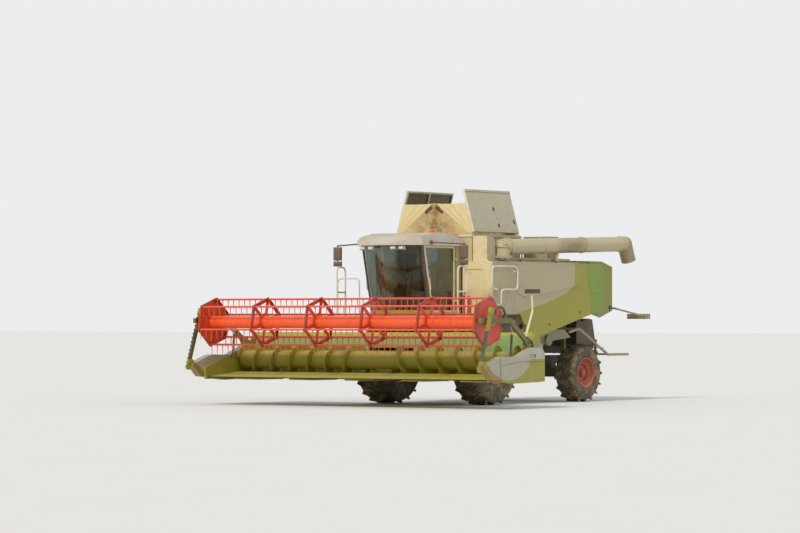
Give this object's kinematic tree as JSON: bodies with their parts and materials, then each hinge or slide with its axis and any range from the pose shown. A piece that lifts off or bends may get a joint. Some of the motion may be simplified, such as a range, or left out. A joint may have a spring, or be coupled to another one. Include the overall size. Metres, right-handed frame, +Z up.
{
  "type": "combine harvester",
  "caption": "Self-propelled combine harvester with grain header, pick-up reel, folded unloading auger and open grain tank lids.",
  "frame": {"origin": "middle of the footprint box, on the ground", "axes": "+Z up, the machine drives towards -Y, its left side is +X"},
  "size_m": [7.9, 10.2272, 4.7062],
  "materials": {
    "lime_paint": "semi-gloss enamel, dusty",
    "grey_paint": "satin paint, dusty",
    "cream_paint": "satin paint, dirty",
    "dark_paint": "matt black paint",
    "cast_iron": "rough cast iron",
    "rod_chrome": "hard chrome rods",
    "worn_steel": "worn bright steel",
    "rim_red": "red enamel, dusty",
    "tine_orange": "orange moulded plastic",
    "tyre_rubber": "black rubber with dry mud",
    "cab_glass": "tinted glass",
    "seat_fabric": "dark woven cover",
    "black_plastic": "black moulded plastic",
    "tarpaulin": "dirty coated fabric"
  },
  "bodies": {
    "root": {"chassis": "dark_paint", "front_axle": "dark_paint", "threshing_body": "grey_paint", "grain_tank": "grey_paint", "front_wall": "grey_paint", "engine": "cast_iron", "engine_deck": "cream_paint", "rear_hood": "lime_paint", "cab_frame": "dark_paint", "cab_roof": "grey_paint", "cab_glass": "cab_glass", "seat": "seat_fabric", "steering": "black_plastic", "mirrors": "dark_paint", "platform": "lime_paint", "handrails": "dark_paint", "auger_turret": "grey_paint", "chopper": "dark_paint", "rear_guards": "grey_paint", "rear_axle": "dark_paint", "gusset_corners": "tarpaulin"},
    "front_wheel_left": {"rim_front_left": "rim_red", "tyre_front_left": "tyre_rubber"},
    "front_wheel_right": {"rim_front_right": "rim_red", "tyre_front_right": "tyre_rubber"},
    "knuckle_left": {"knuckle_left": "dark_paint"},
    "knuckle_right": {"knuckle_right": "dark_paint"},
    "rear_wheel_left": {"rim_rear_left": "rim_red", "tyre_rear_left": "tyre_rubber"},
    "rear_wheel_right": {"rim_rear_right": "rim_red", "tyre_rear_right": "tyre_rubber"},
    "header": {"feeder_house": "lime_paint", "header_frame": "lime_paint", "cutter_bar": "dark_paint", "dividers": "grey_paint", "side_knives": "lime_paint", "crop_sensor": "cream_paint"},
    "lift_barrels": {"lift_barrels": "dark_paint"},
    "lift_rods": {"lift_rods": "rod_chrome"},
    "reel_arms": {"reel_arms": "lime_paint"},
    "reel_barrels": {"reel_barrels": "dark_paint"},
    "reel_rods": {"reel_rods": "rod_chrome"},
    "reel_carriages": {"reel_carriages": "dark_paint"},
    "reel": {"reel": "rim_red"},
    "intake_auger": {"intake_auger": "worn_steel"},
    "unloading_auger": {"unloading_auger": "cream_paint"},
    "cab_door": {"cab_door": "dark_paint", "door_glass": "cab_glass"},
    "side_panel_left": {"side_panel_left": "lime_paint"},
    "side_panel_right": {"side_panel_right": "lime_paint"},
    "tank_lid_left": {"tank_lid_left": "grey_paint"},
    "tank_lid_right": {"tank_lid_right": "grey_paint"},
    "gusset_front": {"gusset_front": "grey_paint"},
    "gusset_rear": {"gusset_rear": "grey_paint"},
    "tine_bar_1": {"tine_bar_1": "tine_orange"},
    "tine_bar_2": {"tine_bar_2": "tine_orange"},
    "tine_bar_3": {"tine_bar_3": "tine_orange"},
    "tine_bar_4": {"tine_bar_4": "tine_orange"},
    "tine_bar_5": {"tine_bar_5": "tine_orange"},
    "tine_bar_6": {"tine_bar_6": "tine_orange"}
  },
  "joints": [
    {"name": "front_wheel_left_spin", "type": "hinge", "parent": "root", "child": "front_wheel_left", "pos_m": [1.3, -1.18644, 0.895], "axis": [1, 0, 0], "continuous": true},
    {"name": "steer_left", "type": "hinge", "parent": "root", "child": "knuckle_left", "pos_m": [0.98, 2.56356, 0.655], "axis": [0, 0, 1], "range_deg": [-35, 35]},
    {"name": "rear_wheel_left_spin", "type": "hinge", "parent": "knuckle_left", "child": "rear_wheel_left", "pos_m": [1.25, 2.56356, 0.655], "axis": [1, 0, 0], "continuous": true},
    {"name": "front_wheel_right_spin", "type": "hinge", "parent": "root", "child": "front_wheel_right", "pos_m": [-1.3, -1.18644, 0.895], "axis": [1, 0, 0], "continuous": true},
    {"name": "steer_right", "type": "hinge", "parent": "root", "child": "knuckle_right", "pos_m": [-0.98, 2.56356, 0.655], "axis": [0, 0, 1], "range_deg": [-35, 35]},
    {"name": "rear_wheel_right_spin", "type": "hinge", "parent": "knuckle_right", "child": "rear_wheel_right", "pos_m": [-1.25, 2.56356, 0.655], "axis": [1, 0, 0], "continuous": true},
    {"name": "header_lift", "type": "hinge", "parent": "root", "child": "header", "pos_m": [0, -1.45644, 1.6], "axis": [-1, 0, 0], "range_deg": [-8, 12]},
    {"name": "lift_cylinder_swing", "type": "hinge", "parent": "root", "child": "lift_barrels", "pos_m": [0, -1.52644, 0.95], "axis": [-1, 0, 0], "range_deg": [-10.6, 15.7]},
    {"name": "lift_cylinder_stroke", "type": "slide", "parent": "lift_barrels", "child": "lift_rods", "axis": [0, -0.9466, -0.3225], "range_m": [-0.1, 0.14]},
    {"name": "reel_lift", "type": "hinge", "parent": "header", "child": "reel_arms", "pos_m": [0, -3.20644, 1.38], "axis": [-1, 0, 0], "range_deg": [-10, 20]},
    {"name": "reel_cylinder_swing", "type": "hinge", "parent": "header", "child": "reel_barrels", "pos_m": [0, -3.68644, 1.04], "axis": [-1, 0, 0], "range_deg": [-4.7, 8.8]},
    {"name": "reel_cylinder_stroke", "type": "slide", "parent": "reel_barrels", "child": "reel_rods", "axis": [0, 0.0933, 0.9956], "range_m": [-0.09, 0.17]},
    {"name": "reel_slide", "type": "slide", "parent": "reel_arms", "child": "reel_carriages", "axis": [0, -1, 0], "range_m": [-0.25, 0.3]},
    {"name": "reel_spin", "type": "hinge", "parent": "reel_carriages", "child": "reel", "pos_m": [0, -4.42644, 1.8], "axis": [1, 0, 0], "continuous": true},
    {"name": "tine_bar_1_turn", "type": "hinge", "parent": "reel", "child": "tine_bar_1", "pos_m": [0, -3.95368, 1.96278], "axis": [1, 0, 0], "continuous": true},
    {"name": "tine_bar_2_turn", "type": "hinge", "parent": "reel", "child": "tine_bar_2", "pos_m": [0, -4.33103, 2.29081], "axis": [1, 0, 0], "continuous": true},
    {"name": "tine_bar_3_turn", "type": "hinge", "parent": "reel", "child": "tine_bar_3", "pos_m": [0, -4.80379, 2.12803], "axis": [1, 0, 0], "continuous": true},
    {"name": "tine_bar_4_turn", "type": "hinge", "parent": "reel", "child": "tine_bar_4", "pos_m": [0, -4.8992, 1.63722], "axis": [1, 0, 0], "continuous": true},
    {"name": "tine_bar_5_turn", "type": "hinge", "parent": "reel", "child": "tine_bar_5", "pos_m": [0, -4.52184, 1.30919], "axis": [1, 0, 0], "continuous": true},
    {"name": "tine_bar_6_turn", "type": "hinge", "parent": "reel", "child": "tine_bar_6", "pos_m": [0, -4.04908, 1.47197], "axis": [1, 0, 0], "continuous": true},
    {"name": "intake_auger_spin", "type": "hinge", "parent": "header", "child": "intake_auger", "pos_m": [0, -3.26644, 0.985], "axis": [1, 0, 0], "continuous": true},
    {"name": "unloading_auger_swing", "type": "hinge", "parent": "root", "child": "unloading_auger", "pos_m": [1.45, -0.73644, 3.44], "axis": [0, 0, -1], "range_deg": [0, 100]},
    {"name": "cab_door_swing", "type": "hinge", "parent": "root", "child": "cab_door", "pos_m": [0.82, -1.57644, 2.7], "axis": [0, 0, 1], "range_deg": [0, 80]},
    {"name": "tank_lid_left_swing", "type": "hinge", "parent": "root", "child": "tank_lid_left", "pos_m": [1.03, -1.18644, 3.75], "axis": [0, -1, 0], "range_deg": [0, 73], "deforming": ["gusset_corners"]},
    {"name": "tank_lid_right_swing", "type": "hinge", "parent": "root", "child": "tank_lid_right", "pos_m": [-1.03, -1.18644, 3.75], "axis": [0, 1, 0], "range_deg": [0, 73]},
    {"name": "gusset_front_fold", "type": "hinge", "parent": "root", "child": "gusset_front", "pos_m": [0, -1.25444, 3.7], "axis": [-1, 0, 0], "range_deg": [0, 90]},
    {"name": "gusset_rear_fold", "type": "hinge", "parent": "root", "child": "gusset_rear", "pos_m": [0, 0.53156, 3.7], "axis": [1, 0, 0], "range_deg": [0, 90]},
    {"name": "side_panel_left_swing", "type": "hinge", "parent": "root", "child": "side_panel_left", "pos_m": [1.51, -1.18644, 3.135], "axis": [0, -1, 0], "range_deg": [0, 80]},
    {"name": "side_panel_right_swing", "type": "hinge", "parent": "root", "child": "side_panel_right", "pos_m": [-1.51, -1.18644, 3.135], "axis": [0, 1, 0], "range_deg": [0, 80]}
  ],
  "couplings": [
    {"joint": "steer_right", "follows": "steer_left", "ratio": 1},
    {"joint": "lift_cylinder_swing", "follows": "header_lift", "ratio": 1.26},
    {"joint": "lift_cylinder_stroke", "follows": "header_lift", "m_per_rad": 0.59834},
    {"joint": "reel_cylinder_swing", "follows": "reel_lift", "ratio": 0.41126},
    {"joint": "reel_cylinder_stroke", "follows": "reel_lift", "m_per_rad": 0.43086},
    {"joint": "tine_bar_1_turn", "follows": "reel_spin", "ratio": -1},
    {"joint": "tine_bar_2_turn", "follows": "reel_spin", "ratio": -1},
    {"joint": "tine_bar_3_turn", "follows": "reel_spin", "ratio": -1},
    {"joint": "tine_bar_4_turn", "follows": "reel_spin", "ratio": -1},
    {"joint": "tine_bar_5_turn", "follows": "reel_spin", "ratio": -1},
    {"joint": "tine_bar_6_turn", "follows": "reel_spin", "ratio": -1},
    {"joint": "tank_lid_right_swing", "follows": "tank_lid_left_swing", "ratio": 1},
    {"joint": "gusset_front_fold", "follows": "tank_lid_left_swing", "ratio": 1.2192},
    {"joint": "gusset_rear_fold", "follows": "tank_lid_left_swing", "ratio": 1.2192}
  ]
}
